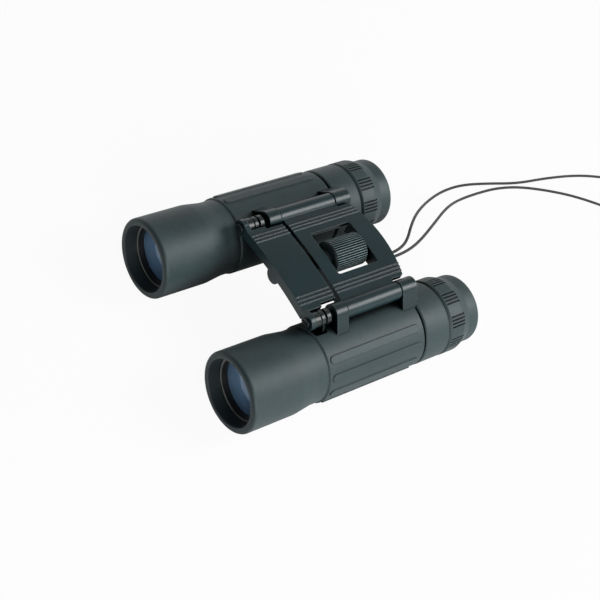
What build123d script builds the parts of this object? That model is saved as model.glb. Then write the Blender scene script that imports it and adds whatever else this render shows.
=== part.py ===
"""Compact folding roof-prism binoculars, in millimetres, with +Z up.

The objectives face -Y and the eyepieces +Y.  A station is a distance behind the front rims.
The instrument stands on its rubber armour, on the plane Z = 0.
"""

import os
from math import acos, atan2, cos, degrees, hypot, radians, sin, sqrt, tan

from build123d import *

os.makedirs("parts", exist_ok=True)

# Overall layout
overall_length = 123.0
axis_spacing = 68.4
barrel_x = axis_spacing / 2
front_y = -overall_length / 2

# Fits and clearances
slide_gap = 0.08
pin_gap = 0.05
glue_gap = 0.02
free_gap = 0.3
overrun = 1.0

# Walls of one barrel, outwards from the bore of its tube
barrel_bore_r = 13.88
barrel_wall = 1.22
hood_wall = 1.9
waist_wall = 0.75
grip_wall = 1.35
collar_wall = 1.45
barrel_r = barrel_bore_r + barrel_wall
armour_r = barrel_r + hood_wall
waist_r = barrel_r + waist_wall
grip_r = barrel_r + grip_wall
collar_r = barrel_r + collar_wall
axis_z = armour_r

# Lengths of the rear end, from the eyecups' rims forwards
cup_length = 19.2
collar_length = 13.4
groove_width = 0.8
collar_end = overall_length - cup_length - free_gap
collar_start = collar_end - collar_length
grip_end = collar_start - groove_width

# Front bridge plate, from its front edge backwards
front_plate_start = 35.2
front_plate_length = 17.2
front_lip_drop = 2.3
front_lip_thickness = 1.8
ear_thickness = 2.2
ear_r = 3.5
front_plate_end = front_plate_start + front_plate_length
ear_end = front_plate_start + ear_thickness

# Hinge lines, one over the inner shoulder of each barrel
hinge_inset = 9.03
hinge_lift = 3.72
hinge_tube_r = 3.8
hinge_pin_r = 1.5
lug_r = 4.1
lug_lean = -52.0
lug_root = 2.75
front_lug_length = 5.8
rear_lug_length = 8.0
rear_lug_overhang = 0.7
lug_gap = 0.4
tube_lead = 1.4
hinge_x = barrel_x - hinge_inset
hinge_rise = grip_r + hinge_lift
hinge_z = axis_z + hinge_rise
hinge_reach = hypot(hinge_inset, hinge_rise)
hinge_bearing = degrees(atan2(hinge_rise, -hinge_inset))
lug_reach = hinge_reach - barrel_bore_r + lug_root
tube_start = front_plate_end + tube_lead
front_lug = (tube_start - lug_gap - front_lug_length, tube_start - lug_gap)
rear_lug_end = collar_start + rear_lug_overhang
rear_lug = (rear_lug_end - rear_lug_length, rear_lug_end)
tube_end = rear_lug[0] - lug_gap

# The fold in which it stands: the bridge leans a little, and each barrel is turned to suit
bridge_tilt = 1.47
fold_across = (axis_spacing - 2 * hinge_x * cos(radians(bridge_tilt))) / hinge_reach
fold_upright = 2 * hinge_x * sin(radians(bridge_tilt)) / hinge_reach
fold_mean = degrees(acos(hypot(fold_across, fold_upright) / 2))
fold_split = degrees(atan2(fold_upright, fold_across))
left_rise = radians(fold_mean + fold_split)
right_rise = radians(fold_mean - fold_split)
left_hinge = (barrel_x - hinge_reach * cos(left_rise), axis_z + hinge_reach * sin(left_rise))
right_hinge = (hinge_reach * cos(right_rise) - barrel_x, axis_z + hinge_reach * sin(right_rise))
left_turn = degrees(left_rise) - 180 + hinge_bearing
right_turn = 180 - hinge_bearing - degrees(right_rise)

# Rubber hood and grip
barrel_front = 5.5
hood_step = 0.22
hood_rim_round = 1.6
hood_lip_round = 0.5
hood_straight = 24.0
hood_lead = 2.6
waist_length = 5.3
waist_round = 12.0
grip_edge = 0.5
pad_angles = (63.0, 36.0, 9.0, -18.0)
pad_width = 3.3
pad_height = 0.42
pad_sink = 0.6
pad_front_gap = 1.5
pad_back_gap = 2.9
hood_bore_r = barrel_bore_r + hood_step
hood_end = front_plate_start + hood_lead
waist_start = hood_end - waist_length
pad_start = hood_end + pad_front_gap
pad_end = grip_end - pad_back_gap

# Ocular tube and lenses
ocular_lens_r = 9.5
ocular_wall = 1.5
ocular_length = 30.2
ocular_proud = 2.2
ocular_flange = 3.0
ocular_front_bore_r = 9.0
ocular_shoulder_r = 8.3
ocular_shoulder_inset = 8.0
ocular_shoulder = 1.4
stop_inset = 1.4
stop_length = 1.2
stop_bore_r = 6.2
field_radius = 24.0
field_thickness = 4.2
spacer_bore_r = 8.7
spacer_length = 13.0
eye_radius = 22.0
eye_thickness = 4.8
ocular_ring_bore_r = 7.6
ocular_ring_length = 1.7
ocular_r = ocular_lens_r + ocular_wall

# Rear collar, and the eyecup with its groups of fine grooves
collar_edge = 0.5
collar_web = 1.6
barrel_end_gap = 0.4
ocular_gap = 0.4
spigot_wall = 1.6
spigot_length = 7.5
cup_band_rise = 0.15
cup_band_length = 7.8
cup_foot = 0.9
cup_shoulder = 4.8
cup_ease = 2.0
cup_r = 15.0
cup_rim_round = 2.2
cup_lip_round = 0.6
left_cup_turn = 14.7
right_cup_turn = -4.9
rib_groups = 10
rib_lines = 4
rib_step = 5.2
rib_width = 0.7
rib_depth = 0.7
rib_margin = 1.2
rib_tail = 0.9
neck_bore_r = ocular_r + ocular_gap
spigot_r = neck_bore_r + spigot_wall
spigot_end = collar_end + spigot_length
barrel_back = collar_end - collar_web - barrel_end_gap
cup_band_r = collar_r + cup_band_rise
ocular_back = spigot_end + ocular_proud
ocular_front = ocular_back - ocular_length
ocular_shoulder_start = ocular_front + ocular_shoulder_inset

# Focus travel, rods and arms
focus_forward = 3.2
focus_back = 0.8
rod_r = 1.5
rod_stub_r = 1.2
rod_head_r = 3.3
rod_front_head = 4.9
rod_ring_inset = 2.7
rod_ring_width = 0.5
rod_ring_depth = 0.5
rod_groove_width = 1.0
rod_back_head = 1.9
rod_reach = 10.4
arm_thickness = 0.8
arm_width = 4.4
arm_prong = 1.0
arm_slot_width = 5.6
arm_slot_play = 0.4
arm_slot_round = 1.0
rod_screw_head_r = 2.0
rod_screw_head = 0.9
rod_screw_r = 0.7
rod_screw_length = 3.0
screw_slot_width = 0.5
screw_slot_depth = 0.4
rod_ring_start = ear_end + rod_ring_inset
rod_groove_start = ear_end + rod_front_head
rod_groove_end = rod_groove_start + rod_groove_width
rod_head_end = rod_groove_end + rod_back_head
rod_end = tube_start + rod_reach
arm_station = rod_groove_start + rod_groove_width / 2
arm_slot_start = arm_station - arm_thickness / 2 - focus_forward - arm_slot_play
arm_slot_end = arm_station + arm_thickness / 2 + focus_back + arm_slot_play

# Objective cell and its cemented pair
cell_front = 6.0
cell_tail = 2.6
cell_lens_wall = 0.9
cell_sleeve_wall = 1.05
cell_shoulder_rise = 1.1
cell_shoulder = 1.2
objective_ring_wall = 0.6
objective_ring_inset = 1.2
objective_ring_length = 1.4
crown_front_radius = 60.0
cement_radius = 45.0
crown_thickness = 5.5
flint_thickness = 1.6
cement_gap = 0.05
cell_r = barrel_bore_r - slide_gap
cell_back = arm_station + cell_tail
cell_bore_r = cell_r - cell_sleeve_wall
objective_r = cell_r - cell_lens_wall
cell_shoulder_r = objective_r - cell_shoulder_rise
objective_ring_bore_r = objective_r - objective_ring_wall

# Prisms and their holder
prism_width = 12.0
prism_corner_gap = 0.22
prism_drop = 2.0
prism_gap = 0.4
prism_lead = 4.6
holder_wall = 1.5
holder_tail = 2.0
prism_aperture_r = 5.6
prism_play = 0.05
clip_thickness = 0.6
prism_start = cell_back + prism_lead
roof_high = sqrt((barrel_bore_r - prism_corner_gap) ** 2 - (prism_width / 2) ** 2)
prism_side = (roof_high + prism_drop) / (3 / 2 - sin(radians(45)))
prism_run = prism_side * sin(radians(45))
prism_low = -prism_side / 2 - prism_drop
prism_high = prism_low + prism_side
prism_end = prism_start + prism_run + prism_gap
roof_low = prism_high - prism_run
holder_start = prism_start - prism_play - holder_wall
holder_end = prism_end + clip_thickness + holder_tail

# Cross-section of the bridge plates
plate_thickness = 2.0
arch_rise = 1.4
crown_lift = 3.56
ridge_count = 3
ridge_inset = 3.4
ridge_step = 1.7
ridge_r = 0.4
rod_side_gap = 0.3
front_lug_side_gap = 1.0
front_notch_lead = 2.4
rear_lug_side_gap = 0.6
tube_seat = 1.1
arch_half = hinge_x - hinge_tube_r
arch_radius = (arch_half**2 + arch_rise**2) / (2 * arch_rise)
crown_z = hinge_z + crown_lift
front_half = hinge_x - rod_head_r - rod_side_gap
front_notch_half = hinge_x - lug_r - front_lug_side_gap
front_notch_start = front_lug[0] - focus_back - front_notch_lead
rear_join_half = hinge_x - hinge_tube_r + tube_seat
rear_notch_half = hinge_x - lug_r - rear_lug_side_gap
ridge_xs = [front_half - ridge_inset - step * ridge_step for step in range(ridge_count)]

# Rear bridge plate and its window
plate_gap = 1.8
rear_lip_drop = 2.6
rear_lip_thickness = 1.6
rear_corner_reach = 6.3
rear_edge_reach = 9.1
rear_corner_round = 1.2
window_half = 11.0
window_front_wall = 6.2
window_back_wall = 0.8
window_corner = 1.0
boss_r = 3.6
boss_floor = 3.0
bearing_wall = 2.0
cross_wall = 0.8
cross_wall_depth = 7.0
rear_plate_start = front_plate_end + plate_gap
rear_corner = tube_end + rear_corner_reach
rear_plate_end = tube_end + rear_edge_reach
window_front = rear_plate_start + window_front_wall
window_back = tube_end - window_back_wall

# Focus wheel and screw
wheel_drop = 0.64
wheel_r = 7.0
wheel_ribs = 42
wheel_rib_depth = 0.5
wheel_edge = 0.7
wheel_front_gap = 2.6
wheel_back_gap = 1.4
wheel_hub_r = 4.0
screw_r = 1.7
screw_inset = 7.0
screw_core_r = 2.2
journal_r = 1.5
journal_tail = 2.6
screw_clip_r = 1.9
screw_clip_groove_r = 1.1
screw_clip_thickness = 0.6
screw_clip_mouth = 1.4
nut_r = 2.6
nut_length = 7.2
wheel_z = hinge_z - wheel_drop
wheel_start = window_front + wheel_front_gap
wheel_end = window_back - wheel_back_gap
screw_front = front_plate_start + screw_inset
journal_end = window_back + bearing_wall + journal_tail
nut_start = front_plate_end - nut_length

# Strap, its anchor and its route over the surface behind the instrument
cord_d = 1.3
strap_arc_share = 0.45
strap_x = 7.8
strap_drop = 2.44
strand_half_gap = 0.95
anchor_thickness = 2.0
anchor_half = 3.0
anchor_drop = 1.8
anchor_round = 1.2
strap_hole_half = 1.9
strap_hole_height = 2.0
knot_r = 2.3
knot_length = 2.8
knot_front_round = 1.4
knot_back_round = 0.6
strap_z = hinge_z - strap_drop
anchor_start = window_back + cross_wall + free_gap + knot_length + pin_gap
anchor_end = anchor_start + anchor_thickness
knot_back_y = front_y + anchor_start - pin_gap


def turn_about(x, z, angle):
    """A turn about the fore-and-aft axis through (x, z), clockwise as the objectives are seen."""
    return Location((x, 0, z)) * Location((0, 0, 0), (0, angle, 0)) * Location((-x, 0, -z))


left_pose = turn_about(barrel_x, axis_z, left_turn)
right_pose = turn_about(-barrel_x, axis_z, right_turn)
bridge_shift = Location(
    ((left_hinge[0] + right_hinge[0]) / 2, 0, (left_hinge[1] + right_hinge[1]) / 2 - hinge_z)
)
bridge_pose = bridge_shift * turn_about(0, hinge_z, -bridge_tilt)


def strand_at(offset, y):
    """A point of a strand inside the strap's eye, with the bridge in its fold."""
    return tuple((bridge_pose * Location((strap_x + offset, y, strap_z))).position)


strap_route = [
    strand_at(-strand_half_gap, knot_back_y),
    strand_at(-strand_half_gap, 33.2),
    (5.9, 42.6, 32.7),
    (2.3, 49.3, 31.2),
    (-3.9, 56.6, 30.1),
    (-13.1, 71.0, 22.7),
    (-24.7, 94.6, 9.0),
    (-31.3, 113.6, 1.7),
    (-31.9, 127.5, 0.7),
    (-28.3, 142.5, 0.7),
    (-23.2, 159.5, 0.7),
    (-20.9, 179.5, 0.7),
    (-16.9, 199.5, 0.7),
    (-11.0, 214.5, 0.7),
    (-2.0, 233.0, 0.7),
    (6.5, 244.5, 0.7),
    (17.5, 245.0, 0.7),
    (23.5, 234.5, 0.7),
    (21.0, 221.5, 0.7),
    (13.5, 209.5, 0.7),
    (3.3, 198.7, 0.7),
    (-6.8, 186.3, 0.7),
    (-14.9, 172.3, 0.7),
    (-20.9, 159.1, 0.7),
    (-23.9, 147.2, 0.7),
    (-24.8, 135.3, 0.7),
    (-23.3, 117.2, 3.0),
    (-16.9, 99.2, 11.0),
    (-4.8, 75.0, 22.6),
    (4.0, 56.8, 29.6),
    (8.1, 45.6, 32.6),
    strand_at(strand_half_gap, 34.6),
    strand_at(strand_half_gap, knot_back_y),
]


def at(station):
    """The Y of a station behind the front rims."""
    return front_y + station


def turning_plane(x, z):
    """A sketch plane of (radius, station) beside a fore-and-aft axis."""
    return Plane(origin=(x, front_y, z), x_dir=(1, 0, 0), z_dir=(0, 0, 1))


def turning_axis(x, z):
    """The fore-and-aft axis through (x, z)."""
    return Axis((x, front_y, z), (0, 1, 0))


def slice_plane(sign, start, end):
    """A cross-section plane midway between two stations, with x outwards and y up."""
    return Plane(origin=(0, at((start + end) / 2), 0), x_dir=(sign, 0, 0), z_dir=(0, -sign, 0))


def tangent_plane(sign, angle, radius, start, end):
    """A plane on a barrel's side, midway between two stations, with x pointing backwards."""
    out = (sign * cos(radians(angle)), 0, sin(radians(angle)))
    centre = (sign * barrel_x + radius * out[0], at((start + end) / 2), axis_z + radius * out[2])
    return Plane(origin=centre, x_dir=(0, 1, 0), z_dir=out)


def sag(radius, r):
    """How far a spherical face falls back from its vertex at r from the axis."""
    return radius - (1 if radius > 0 else -1) * sqrt(radius**2 - r**2)


def arch_z(x):
    """The height of the bridge plates' upper face."""
    return crown_z - sag(arch_radius, x)


def keep(piece, node, pose):
    """Name a finished piece, bring it into the fold and write it to its own file."""
    placed = piece.part.moved(pose)
    placed.label = node
    export_step(placed, f"parts/{node}.step")


def corners_at(profile, *stations):
    """The corners of a turning profile that stand at the given stations."""
    return [
        corner
        for corner in profile.vertices()
        if min(abs(corner.Y - station) for station in stations) < glue_gap
    ]


def turned(x, z, corners):
    """A solid turned about a fore-and-aft axis from (radius, station) corners."""
    with BuildPart() as ring:
        with BuildSketch(turning_plane(x, z)):
            with BuildLine():
                Polyline(*corners, close=True)
            make_face()
        revolve(axis=turning_axis(x, z))
    return ring


def turned_ring(x, z, inner, outer, start, end):
    """A plain ring between two radii and two stations."""
    return turned(x, z, [(inner, start), (outer, start), (outer, end), (inner, end)])


def lens(x, vertex, edge_r, thickness, front_radius=None, back_radius=None):
    """A lens on a barrel's axis: a radius is positive where the face bulges forwards."""

    def face_at(station, radius, r):
        return (r, station + (sag(radius, r) if radius else 0))

    def face_line(station, radius):
        ends = [face_at(station, radius, r) for r in (0, edge_r / 2, edge_r)]
        if radius:
            return ThreePointArc(*ends)
        return Line(ends[0], ends[2])

    with BuildPart() as glass:
        with BuildSketch(turning_plane(x, axis_z)):
            with BuildLine():
                front = face_line(vertex, front_radius)
                back = face_line(vertex + thickness, back_radius)
                Line(front @ 1, back @ 1)
                Line(front @ 0, back @ 0)
            make_face()
        revolve(axis=turning_axis(x, axis_z))
    return glass


def lug_outline(grow):
    """A hinge lug in cross-section: an eye on the hinge line and an arm down to the barrel."""
    with BuildSketch() as outline:
        with Locations((hinge_x, hinge_z)):
            Circle(lug_r + grow)
            Rectangle(
                lug_reach,
                2 * (lug_r + grow),
                rotation=lug_lean,
                align=(Align.MIN, Align.CENTER),
            )
    return outline.sketch


def barrel_tube(sign):
    """The rigid barrel, with its two hinge lugs and the slot for the focus arm."""
    x = sign * barrel_x
    with BuildPart() as tube:
        for start, end in (front_lug, rear_lug):
            with BuildSketch(slice_plane(sign, start, end)):
                add(lug_outline(0))
            extrude(amount=(end - start) / 2, both=True)
            with BuildSketch(slice_plane(sign, start, end)):
                with Locations((hinge_x, hinge_z)):
                    Circle(hinge_pin_r + pin_gap)
            extrude(amount=end - start, both=True, mode=Mode.SUBTRACT)
        over_collar = turned_ring(
            x, axis_z, 0, collar_r + free_gap, collar_start - free_gap, rear_lug_end + overrun
        )
        add(over_collar.part, mode=Mode.SUBTRACT)
        add(turned_ring(x, axis_z, 0, barrel_r, barrel_front, barrel_back).part)
        bore = turned_ring(x, axis_z, 0, barrel_bore_r, barrel_front - overrun, barrel_back + overrun)
        add(bore.part, mode=Mode.SUBTRACT)
        with BuildSketch(tangent_plane(sign, hinge_bearing, barrel_r, arm_slot_start, arm_slot_end)):
            Rectangle(arm_slot_end - arm_slot_start, arm_slot_width)
        extrude(amount=2 * barrel_wall, both=True, mode=Mode.SUBTRACT)
    return tube


def hood(sign):
    """The rubber sleeve round the objective, with a rolled rim and an eased waist."""
    x = sign * barrel_x
    with BuildPart() as sleeve:
        with BuildSketch(turning_plane(x, axis_z)) as profile:
            with BuildLine():
                Polyline(
                    (hood_bore_r, 0),
                    (armour_r, 0),
                    (armour_r, hood_straight),
                    (waist_r, waist_start),
                    (waist_r, hood_end),
                    (barrel_r + glue_gap, hood_end),
                    (barrel_r + glue_gap, barrel_front),
                    (hood_bore_r, barrel_front),
                    close=True,
                )
            make_face()
            rims = profile.vertices().group_by(Axis.Y)[0].sort_by(Axis.X)
            fillet(rims[0], hood_lip_round)
            fillet(profile.vertices().group_by(Axis.Y)[0].sort_by(Axis.X)[-1], hood_rim_round)
            fillet(corners_at(profile, hood_straight, waist_start), waist_round)
        revolve(axis=turning_axis(x, axis_z))
    return sleeve


def grip(sign):
    """The rubber grip, with long raised pads on its outer side and cuts for the lugs and the arm."""
    x = sign * barrel_x
    inner = barrel_r + glue_gap
    with BuildPart() as sleeve:
        add(
            turned(
                x,
                axis_z,
                [
                    (inner, hood_end),
                    (grip_r - grip_edge, hood_end),
                    (grip_r, hood_end + grip_edge),
                    (grip_r, grip_end - grip_edge),
                    (grip_r - grip_edge, grip_end),
                    (inner, grip_end),
                ],
            ).part
        )
        for angle in pad_angles:
            with BuildSketch(tangent_plane(sign, angle, grip_r - pad_sink, pad_start, pad_end)):
                SlotOverall(pad_end - pad_start, pad_width)
            extrude(amount=pad_sink + pad_height)
        for start, end in (front_lug, rear_lug):
            with BuildSketch(slice_plane(sign, start, end)):
                add(lug_outline(glue_gap))
            extrude(amount=(end - start) / 2 + glue_gap, both=True, mode=Mode.SUBTRACT)
        with BuildSketch(tangent_plane(sign, hinge_bearing, grip_r, arm_slot_start, arm_slot_end)):
            RectangleRounded(
                arm_slot_end - arm_slot_start + 2 * free_gap,
                arm_slot_width + 2 * free_gap,
                arm_slot_round,
            )
        extrude(amount=2 * (grip_r - inner), both=True, mode=Mode.SUBTRACT)
    return sleeve


def objective_cell(sign):
    """The sliding cell: the objective's seat in front, and a sleeve back to the focus arm."""
    x = sign * barrel_x
    lens_bore_r = objective_r + glue_gap
    with BuildPart() as cell:
        add(
            turned(
                x,
                axis_z,
                [
                    (lens_bore_r, cell_front),
                    (cell_r, cell_front),
                    (cell_r, cell_back),
                    (cell_bore_r, cell_back),
                    (cell_bore_r, flint_back + cell_shoulder),
                    (cell_shoulder_r, flint_back + cell_shoulder),
                    (cell_shoulder_r, flint_back + glue_gap),
                    (lens_bore_r, flint_back + glue_gap),
                ],
            ).part
        )
        with BuildSketch(tangent_plane(sign, hinge_bearing, cell_r, arm_station, arm_station)):
            Rectangle(arm_thickness, arm_width)
        extrude(amount=2 * (cell_r - cell_bore_r), both=True, mode=Mode.SUBTRACT)
    return cell


def focus_arm(sign):
    """The forked arm that stands in the cell's wall and rides in the groove of the focus rod."""
    foot = cell_bore_r
    tip = hinge_reach + arm_prong
    with BuildPart() as arm:
        with BuildSketch(slice_plane(sign, arm_station, arm_station)):
            with Locations(Location((barrel_x, axis_z), hinge_bearing)):
                with Locations(((foot + tip) / 2, 0)):
                    Rectangle(tip - foot, arm_width)
                with Locations((hinge_reach, 0)):
                    Circle(rod_r + pin_gap, mode=Mode.SUBTRACT)
                with Locations((hinge_reach + arm_prong, 0)):
                    Rectangle(2 * arm_prong, 2 * (rod_r + pin_gap), mode=Mode.SUBTRACT)
        extrude(amount=arm_thickness / 2, both=True)
    return arm


def focus_rod(sign):
    """The rod on a hinge line: a screwed stub, a grooved head, and a shank through lug and tube."""
    hole_r = rod_screw_r + glue_gap
    hole_end = front_plate_start + rod_screw_length + free_gap
    return turned(
        sign * hinge_x,
        hinge_z,
        [
            (hole_r, front_plate_start),
            (rod_stub_r, front_plate_start),
            (rod_stub_r, ear_end),
            (rod_head_r, ear_end),
            (rod_head_r, rod_ring_start),
            (rod_head_r - rod_ring_depth, rod_ring_start),
            (rod_head_r - rod_ring_depth, rod_ring_start + rod_ring_width),
            (rod_head_r, rod_ring_start + rod_ring_width),
            (rod_head_r, rod_groove_start),
            (rod_r, rod_groove_start),
            (rod_r, rod_groove_end),
            (rod_head_r, rod_groove_end),
            (rod_head_r, rod_head_end),
            (rod_r, rod_head_end),
            (rod_r, rod_end),
            (0, rod_end),
            (0, hole_end),
            (hole_r, hole_end),
        ],
    )


def rod_screw_pair():
    """The two slotted screws that hold the focus rods to the front plate's ears."""
    head_start = front_plate_start - rod_screw_head
    with BuildPart() as screws:
        for sign in (1, -1):
            add(
                turned(
                    sign * hinge_x,
                    hinge_z,
                    [
                        (0, head_start),
                        (rod_screw_head_r, head_start),
                        (rod_screw_head_r, front_plate_start),
                        (rod_screw_r, front_plate_start),
                        (rod_screw_r, front_plate_start + rod_screw_length),
                        (0, front_plate_start + rod_screw_length),
                    ],
                ).part
            )
            with BuildSketch(slice_plane(sign, head_start, head_start)):
                with Locations((hinge_x, hinge_z)):
                    Rectangle(3 * rod_screw_head_r, screw_slot_width)
            extrude(amount=screw_slot_depth, both=True, mode=Mode.SUBTRACT)
    return screws


def hinge_pin(sign):
    """The rear hinge pin, with a low head behind the rear lug."""
    head_start = rear_lug[1] + pin_gap
    head_end = head_start + rod_screw_head
    pin_start = rod_end + focus_back + 2 * free_gap
    return turned(
        sign * hinge_x,
        hinge_z,
        [
            (0, pin_start),
            (hinge_pin_r, pin_start),
            (hinge_pin_r, head_start),
            (rod_screw_head_r, head_start),
            (rod_screw_head_r, head_end),
            (0, head_end),
        ],
    )


def prism_plane(x):
    """The upright plane along a barrel's axis, with x as station and y up from the axis."""
    return Plane(origin=(x, front_y, axis_z), x_dir=(0, 1, 0), z_dir=(1, 0, 0))


def prism_holder(sign):
    """A moulded plug that fills the barrel round the prisms, open at the back."""
    x = sign * barrel_x
    channel_start = prism_start - prism_play
    with BuildPart() as holder:
        add(turned_ring(x, axis_z, 0, barrel_bore_r - glue_gap, holder_start, holder_end).part)
        with BuildSketch(prism_plane(x)):
            with Locations(((channel_start + holder_end) / 2, (prism_low + roof_high) / 2)):
                Rectangle(holder_end - channel_start, roof_high - prism_low + 2 * prism_play)
        extrude(amount=prism_width / 2 + prism_play, both=True, mode=Mode.SUBTRACT)
        eye = turned_ring(x, axis_z, 0, prism_aperture_r, holder_start - overrun, prism_start)
        add(eye.part, mode=Mode.SUBTRACT)
    return holder


def penta_prism(sign):
    """The first prism: 45 degrees between its upright entrance and its slanted face."""
    with BuildPart() as prism:
        with BuildSketch(prism_plane(sign * barrel_x)):
            with BuildLine():
                Polyline(
                    (prism_start, prism_low),
                    (prism_start, prism_high),
                    (prism_start + prism_run, roof_low),
                    close=True,
                )
            make_face()
        extrude(amount=prism_width / 2, both=True)
    return prism


def roof_prism(sign):
    """The second prism, turned over behind an air gap, with a right-angled roof on its long face."""
    x = sign * barrel_x
    start = prism_start + prism_gap
    slope = degrees(atan2(roof_high - prism_high, prism_run))
    half = prism_width / 2
    with BuildPart() as prism:
        with BuildSketch(prism_plane(x)):
            with BuildLine():
                Polyline((start, prism_high), (prism_end, roof_low), (prism_end, roof_high), close=True)
            make_face()
        extrude(amount=half, both=True)
        ridge = Plane(
            origin=(x, at(start), axis_z + prism_high),
            x_dir=(1, 0, 0),
            z_dir=(0, -cos(radians(slope)), -sin(radians(slope))),
        )
        with BuildSketch(ridge):
            with BuildLine():
                Polyline(
                    (0, 0),
                    (half, -half),
                    (half, -2 * prism_side),
                    (-half, -2 * prism_side),
                    (-half, -half),
                    close=True,
                )
            make_face()
        extrude(amount=2 * prism_side, both=True, mode=Mode.INTERSECT)
    return prism


def prism_clip(sign):
    """The sprung plate that keeps the prisms in their holder."""
    x = sign * barrel_x
    start = prism_end + prism_play
    with BuildPart() as clip:
        with BuildSketch(slice_plane(sign, start, start + clip_thickness)):
            with Locations((barrel_x, axis_z + (prism_low + roof_high) / 2)):
                Rectangle(prism_width, roof_high - prism_low)
            with Locations((barrel_x, axis_z)):
                Circle(prism_aperture_r, mode=Mode.SUBTRACT)
        extrude(amount=clip_thickness / 2, both=True)
    return clip


def rear_collar(sign, bore_gap):
    """The smooth ring behind the groove, with a web over the barrel's end and the eyecup's spigot."""
    x = sign * barrel_x
    bore_r = barrel_r + bore_gap
    web_start = collar_end - collar_web
    return turned(
        x,
        axis_z,
        [
            (bore_r, collar_start),
            (collar_r - collar_edge, collar_start),
            (collar_r, collar_start + collar_edge),
            (collar_r, collar_end - collar_edge),
            (collar_r - collar_edge, collar_end),
            (spigot_r, collar_end),
            (spigot_r, spigot_end),
            (neck_bore_r, spigot_end),
            (neck_bore_r, web_start),
            (bore_r, web_start),
        ],
    )


def eyecup(sign, turn):
    """The rubber eyecup: a thick band with groups of fine grooves, a shoulder and a rolled end."""
    x = sign * barrel_x
    cup_start = collar_end + free_gap
    band_end = cup_start + cup_band_length
    shoulder_end = band_end + cup_shoulder
    rib_start = cup_start + rib_margin
    rib_end = band_end + rib_tail
    group_width = rib_step * (rib_lines - 1)
    with BuildPart() as cup:
        with BuildSketch(turning_plane(x, axis_z)) as profile:
            with BuildLine():
                Polyline(
                    (spigot_r + glue_gap, cup_start),
                    (cup_band_r - cup_foot, cup_start),
                    (cup_band_r, cup_start + cup_foot),
                    (cup_band_r, band_end),
                    (cup_r, shoulder_end),
                    (cup_r, overall_length),
                    (neck_bore_r, overall_length),
                    (neck_bore_r, spigot_end + glue_gap),
                    (spigot_r + glue_gap, spigot_end + glue_gap),
                    close=True,
                )
            make_face()
            fillet(corners_at(profile, band_end, shoulder_end), cup_ease)
            fillet(profile.vertices().group_by(Axis.Y)[-1].sort_by(Axis.X)[-1], cup_rim_round)
            fillet(profile.vertices().group_by(Axis.Y)[-1].sort_by(Axis.X)[0], cup_lip_round)
        revolve(axis=turning_axis(x, axis_z))
        with BuildSketch(slice_plane(sign, rib_start, rib_end)):
            with Locations((barrel_x, axis_z)):
                for group in range(rib_groups):
                    first = turn + group * 360 / rib_groups - group_width / 2
                    with PolarLocations(cup_band_r, rib_lines, first, group_width, endpoint=True):
                        Rectangle(2 * rib_depth, rib_width)
        extrude(amount=(rib_end - rib_start) / 2, both=True, mode=Mode.SUBTRACT)
    return cup


def ocular_cell(sign):
    """The eyepiece's tube, with a flange that fits the barrel and a shoulder for the lenses."""
    x = sign * barrel_x
    lens_bore_r = ocular_lens_r + glue_gap
    shoulder_end = ocular_shoulder_start + ocular_shoulder
    return turned(
        x,
        axis_z,
        [
            (ocular_front_bore_r, ocular_front),
            (barrel_bore_r - slide_gap, ocular_front),
            (barrel_bore_r - slide_gap, ocular_front + ocular_flange),
            (ocular_r, ocular_front + ocular_flange),
            (ocular_r, ocular_back),
            (lens_bore_r, ocular_back),
            (lens_bore_r, shoulder_end),
            (ocular_shoulder_r, shoulder_end),
            (ocular_shoulder_r, ocular_shoulder_start),
            (ocular_front_bore_r, ocular_shoulder_start),
        ],
    )


def arch_section(half_width, thickness):
    """The cross-section of a bridge plate: an arched strip with three fine ridges by each end."""
    with BuildSketch() as section:
        with BuildLine():
            top = ThreePointArc(
                (-half_width, arch_z(half_width)), (0, crown_z), (half_width, arch_z(half_width))
            )
            end = Line(top @ 1, (half_width, arch_z(half_width) - thickness))
            under = ThreePointArc(
                end @ 1, (0, crown_z - thickness), (-half_width, arch_z(half_width) - thickness)
            )
            Line(under @ 1, top @ 0)
        make_face()
        with Locations(*[(side * x, arch_z(x)) for x in ridge_xs for side in (1, -1)]):
            Circle(ridge_r)
    return section.sketch


def boss_section():
    """The round boss under a bridge plate that carries the focus screw."""
    web = crown_z - plate_thickness / 2 - wheel_z
    with BuildSketch() as section:
        with Locations((0, wheel_z)):
            Circle(boss_r)
            Rectangle(2 * boss_r, web, align=(Align.CENTER, Align.MIN))
    return section.sketch


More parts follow.
